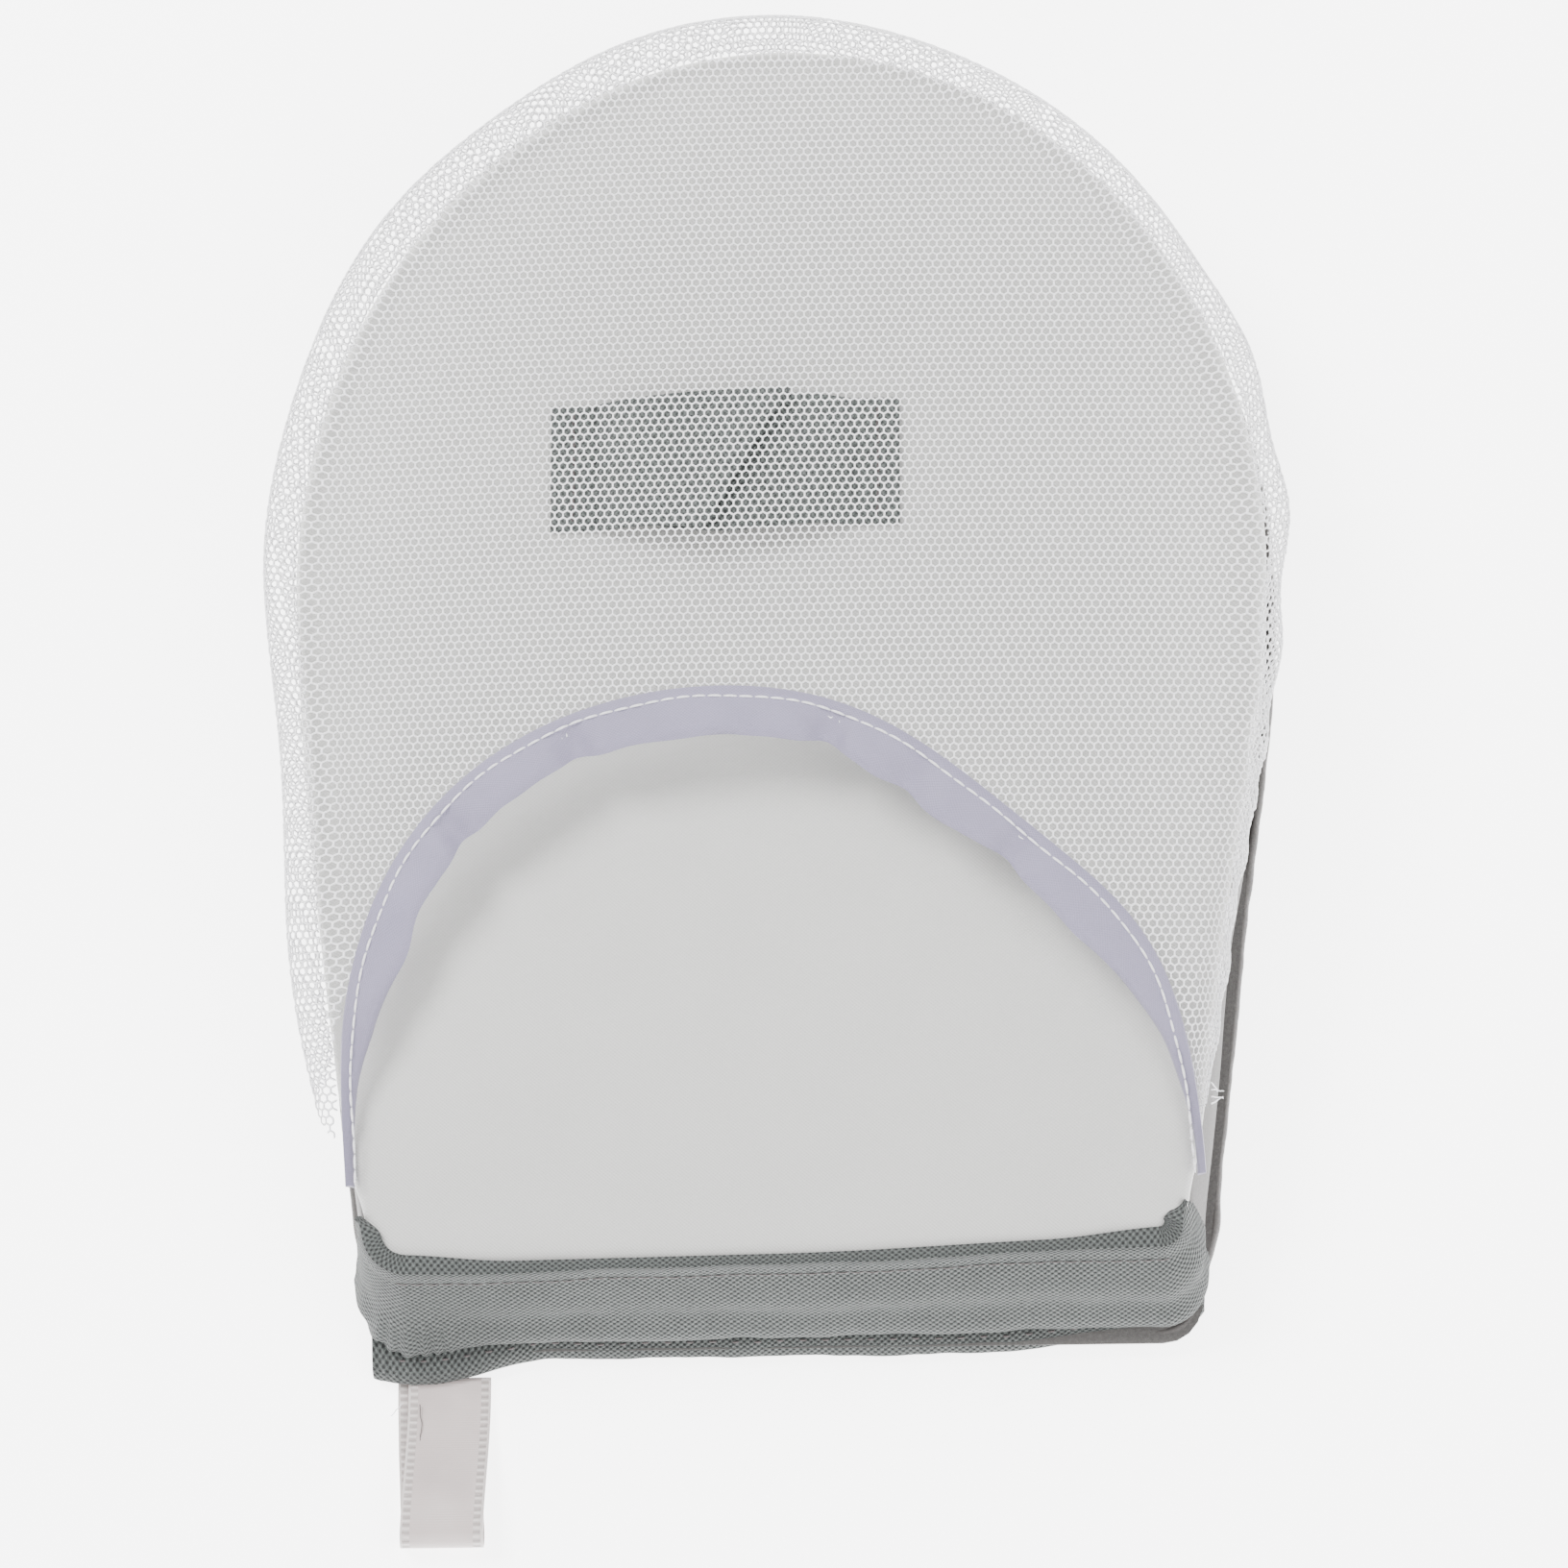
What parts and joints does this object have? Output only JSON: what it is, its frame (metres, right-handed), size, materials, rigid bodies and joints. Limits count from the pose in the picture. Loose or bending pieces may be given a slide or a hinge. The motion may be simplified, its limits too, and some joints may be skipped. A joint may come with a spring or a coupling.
{
  "type": "ironing mitt",
  "caption": "Hand-held padded ironing mitt with a round toe, a net hand pocket with an arched taped mouth, a finger strap and a hanging loop.",
  "frame": {"origin": "middle of the object's box in plan, on the surface that the ironing face lies on", "axes": "+X to the wearer's right across the mitt, +Y towards the round toe, +Z from the ironing face up to the net pocket"},
  "size_m": [0.1776, 0.2682, 0.0446],
  "materials": {
    "coated_cloth": "grey-brown heat-resistant coated cloth, soft metallic sheen",
    "coated_binding": "grey-brown folded tape",
    "felt": "off-white needled felt",
    "foam": "open-cell sponge, cream",
    "white_lining": "white plain-weave polyester, matt",
    "grey_oxford": "grey coarse oxford weave, matt",
    "white_net": "white hexagonal warp-knit net",
    "satin_tape": "pale lavender-white satin tape",
    "satin_ribbon": "pinkish cream satin ribbon with ladder selvedges",
    "dark_thread": "dark grey-brown polyester thread",
    "white_thread": "white polyester thread"
  },
  "bodies": {
    "pad": {"ironing_face": "coated_cloth", "face_binding": "coated_binding", "insulating_felt": "felt", "foam_core": "foam", "side_band": "coated_cloth", "rim_binding": "coated_binding", "lining_panel": "white_lining", "heel_gusset": "grey_oxford", "heel_hem": "grey_oxford", "gusset_topstitch": "dark_thread", "hem_topstitch": "dark_thread", "strap_tab_left": "grey_oxford", "strap_tab_right": "grey_oxford", "strap_stitch_left": "dark_thread", "strap_stitch_right": "dark_thread", "loop_tail": "satin_ribbon"},
    "net_pocket": {"net_panel": "white_net", "mouth_binding": "satin_tape", "mouth_topstitch": "white_thread"},
    "strap": {"finger_strap": "grey_oxford"},
    "loop": {"hanging_loop": "satin_ribbon"}
  },
  "joints": [
    {"name": "pocket_lift", "type": "hinge", "parent": "pad", "child": "net_pocket", "pos_m": [0, 0.13415, 0.02485], "axis": [-1, 0, 0], "range_deg": [0, 12]},
    {"name": "strap_lift", "type": "slide", "parent": "pad", "child": "strap", "axis": [0, 0, 1], "range_m": [0, 0.0035]},
    {"name": "loop_swing", "type": "hinge", "parent": "pad", "child": "loop", "pos_m": [-0.0614, -0.10895, 0.00075], "axis": [-1, 0, 0], "range_deg": [0, 85]}
  ]
}
